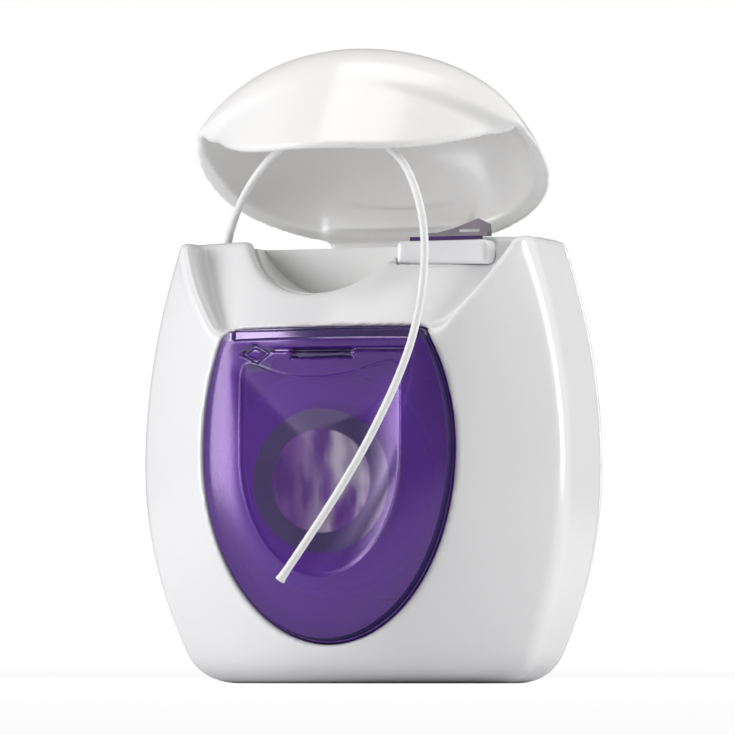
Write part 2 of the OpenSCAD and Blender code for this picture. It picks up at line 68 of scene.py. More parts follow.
# Recess for the lid's skirt, and the scoop for a finger
RECESS_FOOT, RECESS_FOOT_W, RECESS_TOP_W, RECESS_FLARE = 37.0, 24.6, 36.6, 0.35
PANEL_IN, PANEL_BACK, PANEL_SIDE, PANEL_UNDER = 2.4, 7.6, 1.6, 0.2
SCOOP_X, SCOOP_Z, SCOOP_R, SCOOP_BACK = -2.6, 51.0, 10.0, -1.92

# Lid: LID_FALL sets how fast the dome falls to the front, and its face leans back by FACE_LEAN
# over FACE_RISE
LID_OPEN = 38.0
HINGE_Y, HINGE_Z = 10.15, 46.1
LID_W, LID_H, LID_WALL, LID_FALL = 19.6, 12.2, 1.8, 21
LID_MID, LID_CREASE = -2.875, -7.6
REAR_FULL, CORNER_IN = 0.8, 0.9
FACE_RISE, FACE_LEAN, FACE_POWER, FACE_ROOT = 8.8, 4.9, 2.2, 0.455
FRONT_EDGE, FRONT_EDGE_MORE, FRONT_EDGE_FADE = 0.6, 2.8, 8
RIM = 47.15

# Skirt of the lid: its lower edge, its thin lip, and the ways over which the lip grows to the wall
SKIRT_FOOT, SKIRT_RISE, SKIRT_W, SKIRT_POWER, SKIRT_BACK = 37.3, 9.3, 16.2, 2.6, 5.5
SKIRT_END, SKIRT_BLEND, SKIRT_STEP = 16.6, 1.8, 0.6
LIP, LIP_H, LIP_UP, LIP_BACK = 0.8, 1.6, 6, 7

# Hinge: radii about its axis, and half widths across
KNUCKLE_R, KNUCKLE_HALF, PIN_R, PIN_HALF = 1.3, 8, 0.7, 10.1
EYE_R, EYE_X, EYE_HALF, EYE_FOOT, EYE_UNDER, EYE_LOW = 1.45, 9.2, 0.9, 2.9, 0.8, 0.05
PIN_HOLE_R, PIN_HOLE_HALF = 0.75, 11.1
REAR_GAP_R, REAR_GAP_HALF, LID_GAP_R, LID_GAP_HALF = 1.6, 8.3, 1.75, 10.5
WEB_HALF_H, WEB_L, WEB_UNDER = 1.3, 3.6, 0.2

# Window and spool
WINDOW_MID, WINDOW_A, WINDOW_B = 24.4, 13.9, 20.2
PROUD, DISH, PANE = 0.5, 2.6, 1.5
WINDOW_CENTRE, DISH_SHARE, CREST_SINK, EDGE_STEP = 23.1, 0.64, 0.8, 0.9
ARC_Z, ARC_RISE = 31.7, 2.6
BOWL_BLEND, FLOOR_SHARE, BOWL_POWER = 7, 0.45, 1.5
RIM_REACH, RIM_POWER, BEAD_H, BEAD_SHARE = 0.78, 1.5, 0.14, 0.022
EDGE_AT, EDGE_SOFT, EDGE_DROP, EDGE_THIN = 0.93, 0.035, 0.25, 0.4
DARK_FROM, DARK_TO, BACK_REACH, BACK_SHARE = 1.925, 1.972, 1.9, 0.985
SPOOL_Z, HUB_R, BORE_R = 21.1, 7.5, 5.55
RING_FRONT, RING_BACK = -14.0, 3.35
DIAMOND_X, DIAMOND_Z, DIAMOND_W, DIAMOND_H = -6.9, 34.4, 1.75, 0.95
DIAMOND_DEEP, DIAMOND_LINE, DIAMOND_SHARE = 0.4, 0.2, 0.85

# Marks sunk in the window's top, past a share of the way to the crest: depth, left, right, foot, top
# and softness
MARKS_FROM = 0.85
SUNK_MARKS = ((0.35, -4.8, 9.4, 34.5, 34.95, 0.16), (0.9, -2.5, 4.1, 33.85, 34.75, 0.2),
              (0.3, -9.6, 9.9, 35.85, 38, 0.25))

# Bar that carries the cutter, and its pocket in the front shell
BAR_X, BAR_L, BAR_TOP, BAR_H, BAR_FRONT, BAR_D = 10.5, 10.2, 46.5, 2.6, -7.25, 3.0
BAR_R, BAR_SLACK, POCKET_GAP, POCKET_R, POCKET_OPEN = 0.55, 0.02, 0.12, 0.8, 0.9

# Roundings of edges, and gaps between pieces
FINE, LIP_R, SMALL, DECK_R, RECESS_R = 0.3, 0.4, 0.5, 0.7, 0.8
CREASE_R, CORNER_R, MOUTH_R, SKIRT_R, BASE_R = 1.1, 1.2, 1.5, 2.4, 3.4
SEAM, GAP = 0.02, 0.15

# Accuracy of the skins: steps for a slope, the least slopes, and the rounds of moving points onto a surface
TINY, LEAST_SLOPE = 1e-3, 0.2
PROBE, ROUNDS, LEAST_SQUARE, MOST_MOVE = 0.02, 4, 0.3, 0.4
SHELL_PITCH, REAR_PITCH, BAR_PITCH = 0.36, 0.4, 0.2

# Points round the window, the finer outline that they are taken from, and the reach of its smoothing
WINDOW_SIDES, OUTLINE_FINE, OUTLINE_REACH, DISH_REACH = 360, 4000, 5, 12

# Camera, fitted to the photograph: degrees, millimetres, and pixels of a picture PHOTO wide
CAMERA_TURN, CAMERA_RISE, CAMERA_FAR, CAMERA_AIM = 20, -2.4, 680.0, 30.0
PHOTO, PIXELS_PER_MM, SHIFT_X, SHIFT_Y = 735, 9.4, -3.5, 33.5
SENSOR, CLIP_NEAR, CLIP_FAR = 36, 0.01, 20

# Floor and light
FLOOR_HALF, FLOOR_GLOW, GLOW_SHARE, WORLD_LEVEL = 3, 1.06, 0.88, 0.22
LAMP_AIM = (0, 0, 0.03)


# Meshes

def mesh_object(name, points, faces):
    """A smooth mesh in the scene, from points in millimetres and a list of faces."""
    mesh = bpy.data.meshes.new(name)
    mesh.from_pydata((np.asarray(points, float) * MM).tolist(), [], faces)
    mesh.polygons.foreach_set("use_smooth", np.full(len(mesh.polygons), True))
    mesh.validate()
    mesh.update()
    obj = bpy.data.objects.new(name, mesh)
    bpy.context.scene.collection.objects.link(obj)
    return obj


def outward(obj):
    """Turns every face outwards."""
    work = bmesh.new()
    work.from_mesh(obj.data)
    bmesh.ops.recalc_face_normals(work, faces=work.faces)
    work.to_mesh(obj.data)
    work.free()


def grid_faces(rows, columns, closed_rows=False, closed_columns=False):
    """Quads between neighbouring rows and columns of a grid of points."""
    i = np.arange(rows if closed_rows else rows - 1)
    j = np.arange(columns if closed_columns else columns - 1)
    i, j = np.meshgrid(i, j, indexing="ij")
    i2 = (i + 1) % rows
    j2 = (j + 1) % columns
    quads = np.stack([i * columns + j, i2 * columns + j, i2 * columns + j2, i * columns + j2], -1)
    return quads.reshape(-1, 4)


def round_max(a, b, r):
    """The larger of two distances, with the edge between them rounded over about r."""
    h = np.maximum(r - np.abs(a - b), 0) / r
    return np.maximum(a, b) + h * h * r / 4


def round_min(a, b, r):
    """The smaller of two distances, rounded in the same way."""
    return -round_max(-a, -b, r)


def ease(share):
    """A smooth way from 0 to 1 for a share that runs straight."""
    return share * share * (3 - 2 * share)


def even(g, x, y, z):
    """A level function over the length of its slope, so that it measures millimetres near its surface."""
    e = TINY
    v = g(x, y, z)
    slope = np.sqrt(((g(x + e, y, z) - v) / e) ** 2 + ((g(x, y + e, z) - v) / e) ** 2
                    + ((g(x, y, z + e) - v) / e) ** 2)
    return v / np.maximum(slope, LEAST_SLOPE)


def moulded(name, depth, low, high, pitch):
    """A closed skin where a distance function changes sign: one point in each cell of an even grid that
    the surface crosses, at the mean of its crossings and then moved along the slope onto the surface."""
    axes = [np.arange(a, b + pitch, pitch) for a, b in zip(low, high)]
    values = depth(*np.meshgrid(*axes, indexing="ij"))
    inside = values < 0
    shape = np.array(values.shape)
    total = np.zeros(tuple(shape - 1) + (3,))
    count = np.zeros(tuple(shape - 1))
    for axis in range(3):
        others = [k for k in range(3) if k != axis]
        first = np.take(values, range(shape[axis] - 1), axis)
        second = np.take(values, range(1, shape[axis]), axis)
        crossed = (first < 0) != (second < 0)
        share = np.where(crossed, first / np.where(crossed, first - second, 1), 0)
        for p in (0, 1):
            for q in (0, 1):
                cut = [slice(None)] * 3
                cut[others[0]] = slice(p, shape[others[0]] - 1 + p)
                cut[others[1]] = slice(q, shape[others[1]] - 1 + q)
                here = crossed[tuple(cut)]
                count += here
                total[..., axis] += np.where(here, share[tuple(cut)], 0)
                total[..., others[0]] += here * p
                total[..., others[1]] += here * q
    cells = count > 0
    index = np.full(cells.shape, -1)
    index[cells] = np.arange(cells.sum())
    corner = np.stack(np.nonzero(cells), -1)
    points = np.array(low) + pitch * (corner + total[cells] / count[cells][:, None])
    e = PROBE
    for _ in range(ROUNDS):
        x, y, z = points.T
        v = depth(x, y, z)
        slope = np.stack([depth(x + e, y, z) - depth(x - e, y, z),
                          depth(x, y + e, z) - depth(x, y - e, z),
                          depth(x, y, z + e) - depth(x, y, z - e)], -1) / (2 * e)
        step = v[:, None] * slope / np.maximum((slope ** 2).sum(-1), LEAST_SQUARE)[:, None]
        size = np.linalg.norm(step, axis=1, keepdims=True)
        points -= step * np.minimum(1, MOST_MOVE * pitch / np.maximum(size, 1e-9))
    quads = []
    for axis in range(3):
        a, b = [k for k in range(3) if k != axis]
        inner = [slice(1, -1)] * 3
        inner[axis] = slice(None)
        first = np.take(inside, range(shape[axis] - 1), axis)[tuple(inner)]
        second = np.take(inside, range(1, shape[axis]), axis)[tuple(inner)]
        for state, flip in ((first & ~second, False), (~first & second, True)):
            at = np.stack(np.nonzero(state), -1)
            at[:, a] += 1
            at[:, b] += 1
            ring = []
            for da, db in ((1, 1), (0, 1), (0, 0), (1, 0)):
                c = at.copy()
                c[:, a] -= da
                c[:, b] -= db
                ring.append(index[c[:, 0], c[:, 1], c[:, 2]])
            ring = np.stack(ring, -1)
            quads.append(ring[:, ::-1] if flip != (axis == 1) else ring)
    return mesh_object(name, points, np.concatenate(quads).tolist())


# Case: the same formulas as the model's sections

def half_width(z):
    """Half the case's width at a height: widest at the waist, less by the square of the way up or down."""
    up = np.clip((z - WAIST) / (DECK - WAIST), 0, None)
    down = np.clip((WAIST - z) / WAIST, 0, None)
    return CASE_W / 2 - (CASE_W - DECK_W) / 2 * up ** 2 - (CASE_W - BASE_W) / 2 * down ** 2


def low_share(z):
    """0 from the waist up, and 1 at the base."""
    return np.clip((WAIST - z) / WAIST, 0, 1.2) ** 2


def front_face(x, z):
    """Front of the case: a parabola across from crease to crease, drawn back a little towards the base."""
    middle = FRONT + FRONT_IN * FRONT_BULGE * low_share(z)
    side = -CREASE * (1 - CREASE_IN * low_share(z))
    return middle + (side - middle) * (x / half_width(z)) ** 2


def rear_round(x, y, z):
    """Rear of the case: an oval of power 2.1 from side to side, near to a distance in millimetres."""
    side = CREASE * (1 - SIDE_IN * low_share(z))
    middle = REAR - REAR_IN * REAR_BULGE * low_share(z)
    across = np.abs(x) / half_width(z)
    back = np.maximum(y - side, 0) / (middle - side)
    return LID_W * ((across ** REAR_POWER + back ** REAR_POWER) ** (1 / REAR_POWER) - 1)


def case_depth(x, y, z):
    """Depth outside the case's skin: front, sides, rear and base, with soft creases."""
    front = even(lambda a, b, c: front_face(a, c) - b, x, y, z)
    rear = even(rear_round, x, y, z)
    body = round_max(front, rear, CREASE_R)
    return round_max(body, -z, BASE_R)


def recess_half(z):
    """Half the width of the recess at a height: it widens towards the deck, ever less."""
    u = (z - RECESS_FOOT) / (DECK - RECESS_FOOT)
    widening = u * (1 + RECESS_FLARE - RECESS_FLARE * u)
    return RECESS_FOOT_W / 2 + (RECESS_TOP_W - RECESS_FOOT_W) / 2 * widening


def panel_face(x, z):
    """Panel at the back of the recess: it slopes back towards the deck, more in the middle."""
    u = (z - RECESS_FOOT) / (DECK - RECESS_FOOT)
    middle = FRONT + PANEL_IN + PANEL_BACK * u
    side = -CREASE + PANEL_IN + PANEL_SIDE * u
    return middle + (side - middle) * (x / half_width(z)) ** 2


def window_oval(x, z, margin):
    """Distance outside the window's outline: an oval cut straight at the foot of the recess."""
    def oval(a, b, c):
        up = (c - WINDOW_MID) / (WINDOW_B + margin)
        return WINDOW_A * np.sqrt((a / (WINDOW_A + margin)) ** 2 + up ** 2) - WINDOW_A

    return round_max(even(oval, x, 0 * x, z), z - RECESS_FOOT - margin, CORNER_R)


def rounded_bar(x, y, z, margin, r):
    """Distance outside a block with round edges."""
    q = np.stack([np.abs(x - BAR_X) - BAR_L / 2, np.abs(y - BAR_FRONT - BAR_D / 2) - BAR_D / 2,
                  np.abs(z - BAR_TOP + BAR_H / 2) - BAR_H / 2]) + r
    outside = np.sqrt((np.maximum(q, 0) ** 2).sum(0))
    return outside + np.minimum(q.max(0), 0) - r - margin


def front_shell_depth(x, y, z):
    """Front half of the case: its wall with the panel, less the recess, the window's hole, the scoop
    and the bar's pocket."""
    skin = case_depth(x, y, z)
    shell = round_max(skin, -(skin + WALL), FINE)
    behind = even(lambda a, b, c: panel_face(a, c) - b, x, y, z)
    wall = np.maximum(-behind - WALL, np.abs(x) - recess_half(z) - WALL)
    wall = np.maximum(np.maximum(wall, RECESS_FOOT - WALL - z), skin + PANEL_UNDER)
    solid = round_min(shell, wall, SMALL)
    side = even(lambda a, b, c: np.abs(a) - recess_half(c), x, 0 * x, z)
    cut = round_max(round_max(side, RECESS_FOOT - z, RECESS_R), -behind, RECESS_R)
    solid = round_max(solid, -cut, MOUTH_R)
    solid = round_max(solid, -window_oval(x, z, GAP), SMALL)
    from_scoop = np.sqrt((x - SCOOP_X) ** 2 + (z - SCOOP_Z) ** 2)
    scoop = np.maximum(from_scoop - SCOOP_R - GAP, y - SCOOP_BACK)
    solid = round_max(solid, -scoop, DECK_R)
    ahead, low = np.maximum(y, BAR_FRONT + POCKET_OPEN), np.minimum(z, BAR_TOP - POCKET_OPEN)
    pocket = np.maximum(rounded_bar(x, ahead, low, POCKET_GAP, POCKET_R), BAR_TOP - BAR_H - z)
    solid = round_max(solid, -pocket, FINE)
    solid = round_max(solid, y - CREASE + SEAM, FINE)
    return round_max(solid, z - DECK, DECK_R)


def hinge_distance(y, z):
    """Distance from the hinge's axis."""
    return np.sqrt((y - HINGE_Y) ** 2 + (z - HINGE_Z) ** 2)


def rear_shell_depth(x, y, z):
    """Rear half of the case: its wall with the gap for the knuckle and the two ears."""
    skin = case_depth(x, y, z)
    from_axis = hinge_distance(y, z)
    solid = round_max(skin, -(skin + WALL), FINE)
    solid = round_max(solid, CREASE + SEAM - y, FINE)
    solid = round_max(solid, z - DECK, DECK_R)
    gap = np.minimum(from_axis - REAR_GAP_R, np.maximum(HINGE_Z - z, CREASE - y))
    solid = round_max(solid, -np.maximum(np.abs(x) - REAR_GAP_HALF, gap), LIP_R)
    across = np.abs(np.abs(x) - EYE_X) - EYE_HALF
    eye = round_max(from_axis - EYE_R, across, FINE)
    eye = np.maximum(eye, z - DECK + EYE_LOW)
    foot = np.maximum(np.maximum(across, np.abs(y - HINGE_Y) - EYE_R),
                      np.maximum(np.abs(z - HINGE_Z + EYE_FOOT) - EYE_FOOT, skin + EYE_UNDER))
    solid = round_min(round_min(solid, eye, FINE), foot, FINE)
    return np.maximum(solid, -np.maximum(from_axis - PIN_HOLE_R, np.abs(x) - PIN_HOLE_HALF))


# Lid, worked out closed and then opened about its hinge

def lid_rise(x, y):
    """Height of the lid above its rim: the lower of a dome and of a front that leans back."""
    across = np.abs(x) / LID_W
    back = np.maximum(y - LID_MID, 0) / (HINGE_Y - LID_MID)
    share = np.minimum(1, (across ** REAR_POWER + back ** REAR_POWER) ** (1 / REAR_POWER))
    share = np.where(y > LID_MID, share, np.minimum(1, across))
    fall = np.where(y < LID_MID, 1 - ((LID_MID - y) / LID_FALL) ** 2, 1)
    top = LID_H * fall * (1 - share ** 2)
    ahead = y - FRONT - (LID_CREASE - FRONT) * (x / LID_W) ** 2
    face = FACE_RISE * (np.maximum(ahead, 0) / FACE_LEAN) ** FACE_ROOT
    return np.maximum(0, round_min(top, face, MOUTH_R))


def opened(points):
    """Points of the closed lid, turned about the hinge to its place in the photograph."""
    c, s = math.cos(math.radians(LID_OPEN)), math.sin(math.radians(LID_OPEN))
    p = np.array(points, float)
    y, z = p[..., 1] - HINGE_Y, p[..., 2] - HINGE_Z
    p[..., 1] = HINGE_Y + y * c + z * s
    p[..., 2] = HINGE_Z - y * s + z * c
    return p


def skirt_edge(x, y, z):
    """Level of the skirt's lower edge: a curve that rises from the middle and runs into the rim."""
    edge = SKIRT_FOOT + SKIRT_RISE * np.abs(x / SKIRT_W) ** SKIRT_POWER
    out = np.clip((np.abs(x) - SKIRT_END) / SKIRT_BLEND, 0, 1)
    return round_min(edge, RIM - SKIRT_STEP * (1 - ease(out)), SKIRT_R) - z


def lid_dome(x, y, z):
    """Level of the lid's top: rounder at the rear than at the front, where its corners are drawn in."""
    ahead = np.maximum(LID_MID - y, 0)
    across = np.abs(x) / (LID_W - CORNER_IN * np.clip(ahead / (LID_MID - LID_CREASE), 0, 1) ** 2)
    behind = np.maximum(y - LID_MID, 0) / (HINGE_Y - LID_MID)
    q = (across ** REAR_POWER + behind ** REAR_POWER) ** (1 / REAR_POWER)
    power = 2 + REAR_FULL * ease(np.clip((y - FRONT) / (LID_MID - FRONT), 0, 1))
    return z - RIM - LID_H * (1 - (ahead / LID_FALL) ** 2) * (1 - q ** power)


def lid_face(x, y, z):
    """Level of the lid's front: it leans back above the deck, and is the case's own front below."""
    lean = FACE_LEAN * (np.maximum(z - DECK, 0) / FACE_RISE) ** FACE_POWER
    width = np.where(z > DECK, LID_W, np.minimum(half_width(z), LID_W))
    side = -CREASE + (LID_CREASE + CREASE) * ease(np.clip((z - RIM + LIP_H) / LIP_H, 0, 1))
    return FRONT + lean + (side - FRONT) * (x / width) ** 2 - y


def lid_depth(x, y, z):
    """Closed lid: the wall of its dome above the rim, and its skirt, which ends in a curve."""
    above = ease(np.clip((z - RIM) / FRONT_EDGE_FADE, 0, 1))
    outer = round_max(even(lid_dome, x, y, z), even(lid_face, x, y, z), FRONT_EDGE + FRONT_EDGE_MORE * above)
    lower = even(skirt_edge, x, y, z)
    allowed = round_min(RIM - z, np.maximum(lower, y + SKIRT_BACK), LIP_R)
    up = np.clip(-lower / LIP_UP, 0, 1)
    out = np.clip((y - LID_CREASE) / LIP_BACK, 0, 1)
    wall = LIP + (LID_WALL - LIP) * np.maximum(ease(up), ease(out))
    shell = round_max(outer, -(outer + wall), FINE)
    return round_max(shell, allowed, FINE)


# Window: rings of its outline, each sunk by its share of the dish

def smoothed(values, reach):
    """Values round a closed outline, each a weighted mean of its neighbours up to a reach."""
    weights = np.hanning(2 * reach + 3)[1:-1]
    weights = weights / weights.sum()
    return sum(w * np.roll(values, k - reach) for k, w in enumerate(weights))


def window_outline(count):
    """The oval cut straight at its top, with its two corners rounded, as evenly spaced points."""
    a = np.linspace(0, 2 * np.pi, OUTLINE_FINE, endpoint=False)
    x, z = WINDOW_A * np.cos(a), WINDOW_MID + WINDOW_B * np.sin(a)
    half = WINDOW_A * math.sqrt(1 - ((RECESS_FOOT - WINDOW_MID) / WINDOW_B) ** 2)
    over = z > RECESS_FOOT
    turn = np.arctan2(z - WINDOW_MID, x)
    limit = math.atan2(RECESS_FOOT - WINDOW_MID, half)
    x = np.where(over, half * (1 - 2 * (turn - limit) / (np.pi - 2 * limit)), x)
    z = np.where(over, RECESS_FOOT, z)
    steps = np.hypot(np.diff(x, append=x[0]), np.diff(z, append=z[0]))
    length = np.concatenate([[0], np.cumsum(steps)])
    at = np.linspace(0, length[-1], count, endpoint=False)
    return np.stack([smoothed(np.interp(at, length, np.append(v, v[0])), OUTLINE_REACH)
                     for v in (x, z)], -1)


def dish_radius(turn, outline_radius):
    """Distance of the dish's crest from the window's middle: the outline to scale below, and above that
    straight sides up to an arc that sags in the middle."""
    c, s = np.cos(turn), np.sin(turn)
    low = DISH_SHARE * outline_radius
    half = DISH_SHARE * WINDOW_A
    side = half / np.maximum(np.abs(c), 1e-6)
    sag = ARC_RISE / half ** 2
    drop = ARC_Z - WINDOW_CENTRE
    inner = s * s - 4 * sag * c * c * drop
    root = np.sqrt(np.maximum(inner, 0))
    arc = np.where(np.abs(c) < 1e-3, drop, (s - root) / np.maximum(2 * sag * c * c, 1e-9))
    high = np.minimum(side, np.where((s > 0) & (inner > 0), arc, np.inf))
    return smoothed(np.where(s > 0, high, low), DISH_REACH)


def bar_mask(x, z, x0, x1, z0, z1, soft):
    """1 in a rectangle of the front view and 0 outside it, with soft edges."""
    across = np.minimum(x - x0, x1 - x)
    up = np.minimum(z - z0, z1 - z)
    return np.clip(np.minimum(across, up) / soft + 0.5, 0, 1)


def window_sink(t, x, z):
    """How far the face lies below the window's highest level: the bowl of the dish up to its crest at
    t = 1, the rim, which rises to its edge, a step near t = 2, and the marks of the tabs at the top."""
    right = ease(np.clip((x + BOWL_BLEND / 2) / BOWL_BLEND, 0, 1))
    steep = np.clip((t - FLOOR_SHARE) / (1 - FLOOR_SHARE), 0, 1) ** BOWL_POWER
    rise = right * steep + (1 - right) * np.clip(t, 0, 1) ** 2
    bowl = CREST_SINK + (DISH - CREST_SINK) * (1 - rise)
    out = np.clip(t - 1, 0, 1)
    rim = CREST_SINK * (1 - np.clip(out / RIM_REACH, 0, 1)) ** RIM_POWER
    bead = BEAD_H * np.exp(-((t - 1) / BEAD_SHARE) ** 2)
    step = EDGE_STEP * np.clip((out - EDGE_AT) / EDGE_SOFT, 0, 1)
    sink = np.where(t < 1, bowl, rim + step) - bead
    marks = sum(depth * bar_mask(x, z, *box) for depth, *box in SUNK_MARKS)
    diamond = np.abs(x - DIAMOND_X) / DIAMOND_W + np.abs(z - DIAMOND_Z) / DIAMOND_H
    outline = DIAMOND_DEEP * np.clip(1.6 - np.abs(diamond - DIAMOND_SHARE) / DIAMOND_LINE, 0, 1)
    return sink + np.where(t > MARKS_FROM, marks + outline, 0)


def window_object(name):
    """Face, edge and back of the window: rings from its middle to the dish's crest and on to its outline,
    with a second set of rings behind them. Also says which of its faces are of the thicker tint."""
    count = WINDOW_SIDES
    middle = np.array([0, WINDOW_CENTRE])
    arm = window_outline(count) - middle
    length = np.linalg.norm(arm, axis=1)
    crest = dish_radius(np.arctan2(arm[:, 1], arm[:, 0]), length) / length
    t = np.concatenate([np.linspace(0.03, 0.9, 26), np.linspace(0.92, 1.08, 15),
                        np.linspace(1.11, 1.9, 32), np.linspace(1.915, 1.985, 8), [1.995, 2.0]])

    def level(share, extra, shrink):
        share = share[:, None]
        reach = np.where(share < 1, share * crest, crest + (share - 1) * (1 - crest))
        plan = middle + reach[..., None] * arm * shrink
        x, z = plan[..., 0], plan[..., 1]
        sink = window_sink(np.broadcast_to(share, x.shape), x, z)
        return np.stack([x, front_face(x, z) - PROUD + sink + extra, z], -1)

    face = level(t, 0, 1)
    face[-1, :, 1] += EDGE_DROP
    wall = face[-1:] + [0, PANE - EDGE_THIN, 0]
    back = level(np.minimum(t[::-1], BACK_REACH), PANE, BACK_SHARE)
    rings = np.concatenate([face, wall, back])
    ends = np.stack([rings[0].mean(0), rings[-1].mean(0)])
    points = np.concatenate([rings.reshape(-1, 3), ends])
    rows, total = len(rings), len(rings) * count
    faces = grid_faces(rows, count, closed_columns=True)[:, ::-1]
    j = np.arange(count)
    k = (j + 1) % count
    front_cap = np.stack([np.full(count, total), k, j], -1)
    back_cap = np.stack([np.full(count, total + 1), total - count + j, total - count + k], -1)
    obj = mesh_object(name, points, faces.tolist() + front_cap.tolist() + back_cap.tolist())
    outward(obj)
    row = np.arange(len(faces)) // count
    between = (t[:-1] + t[1:]) / 2
    dark = (between > DARK_FROM) & (between < DARK_TO)
    thick = np.zeros(len(obj.data.polygons), int)
    thick[:len(faces)] = np.concatenate([dark, np.zeros(rows - len(t), bool)])[row]
    return obj, thick


def turned(name, profile, count=128):
    """A profile of (radius, y) points turned about the spool's axis. The profile is a closed loop."""
    profile = np.asarray(profile, float)
    a = np.linspace(0, 2 * np.pi, count, endpoint=False)
    r, y = profile[:, 0][:, None], profile[:, 1][:, None]
    points = np.stack([r * np.cos(a), y + 0 * a, SPOOL_Z + r * np.sin(a)], -1)
    faces = grid_faces(len(profile), count, closed_rows=True, closed_columns=True)
    obj = mesh_object(name, points.reshape(-1, 3), faces.tolist())
    outward(obj)
    return obj


def distances(path):
    """How far each point of a path is along it."""
    return np.concatenate([[0], np.cumsum(np.linalg.norm(np.diff(path, axis=0), axis=1))])


def swept(name, path, radius, sides, lobes, lobe_depth, twist):
    """A tube along a path. Its section is a circle with lobes that turn along it, as twisted strands do."""
    ahead = np.gradient(path, axis=0)
    ahead /= np.linalg.norm(ahead, axis=1)[:, None]
    side = np.zeros_like(path)
    s = np.cross(ahead[0], [0.2, 1, 0.1])
    for i, t in enumerate(ahead):
        s = s - t * (s @ t)
        s = s / np.linalg.norm(s)
        side[i] = s
    up = np.cross(ahead, side)
    a = np.linspace(0, 2 * np.pi, sides, endpoint=False)
    turn = twist * distances(path)[:, None]
    r = radius[:, None] * (1 - lobe_depth + lobe_depth * np.cos(lobes * (a + turn)))
    around = np.cos(a)[:, None] * side[:, None] + np.sin(a)[:, None] * up[:, None]
    points = (path[:, None] + r[..., None] * around).reshape(-1, 3)
    faces = grid_faces(len(path), sides, closed_columns=True)
    caps = [list(range(sides))[::-1], list(range(len(points) - sides, len(points)))]
    obj = mesh_object(name, points, faces.tolist() + caps)
    outward(obj)
    return obj


def curve_points(route, n):
    """A smooth curve through given points, n steps between each pair, as in the model."""
    p = np.asarray(route, float)
    q = np.concatenate([p[:1], p, p[-1:]])
    t = (np.arange(n) / n)[None, :, None]
    a, b, c, d = (q[k:len(p) - 1 + k][:, None] for k in range(4))
    out = (2 * b + (c - a) * t + (2 * a - 5 * b + 4 * c - d) * t ** 2 + (3 * b - a - 3 * c + d) * t ** 3) / 2
    return np.concatenate([out.reshape(-1, 3), p[-1:]])


# Camera, at the photograph's angle and distance

def place_camera():
    """A camera to the right of the front and a little below the middle, with a shifted lens."""
    a, e = math.radians(CAMERA_TURN), math.radians(CAMERA_RISE)
    ahead = np.array([-math.sin(a) * math.cos(e), math.cos(a) * math.cos(e), -math.sin(e)])
    right = np.array([math.cos(a), math.sin(a), 0])
    up = np.cross(right, ahead)
    eye = np.array([0, 0, CAMERA_AIM]) - ahead * CAMERA_FAR
    lens = bpy.data.cameras.new("camera")
    lens.sensor_width = SENSOR
    lens.sensor_fit = "HORIZONTAL"
    lens.lens = SENSOR * PIXELS_PER_MM * CAMERA_FAR / PHOTO
    lens.shift_x = SHIFT_X / PHOTO
    lens.shift_y = SHIFT_Y / PHOTO
    lens.clip_start = CLIP_NEAR
    lens.clip_end = CLIP_FAR
    camera = bpy.data.objects.new("camera", lens)
    bpy.context.scene.collection.objects.link(camera)
    turn = np.eye(4)
    turn[:3, 0], turn[:3, 1], turn[:3, 2], turn[:3, 3] = right, up, -ahead, eye * MM
    camera.matrix_world = Matrix(turn.tolist())
    bpy.context.scene.camera = camera


place_camera()


# Materials

class Value:
    """One socket on its way through the nodes. Sums on it add Math nodes."""

    def __init__(self, paint, socket):
        self.paint = paint
        self.socket = socket

    def sum(self, operation, first, second):
        return self.paint.node("ShaderNodeMath", {"operation": operation}, {0: first, 1: second})

    def __add__(self, other):
        return self.sum("ADD", self, other)

    __radd__ = __add__

    def __mul__(self, other):
        return self.sum("MULTIPLY", self, other)

    __rmul__ = __mul__

    def __sub__(self, other):
        return self.sum("SUBTRACT", self, other)

    def __rsub__(self, other):
        return self.sum("SUBTRACT", other, self)

    def __pow__(self, other):
        return self.sum("POWER", self, other)

    def between(self, low, high):
        """0 below low, 1 above high, with a smooth way between."""
        return self.paint.node("ShaderNodeMapRange", {"interpolation_type": "SMOOTHSTEP"},
                               {0: self, 1: low, 2: high, 3: 0.0, 4: 1.0})


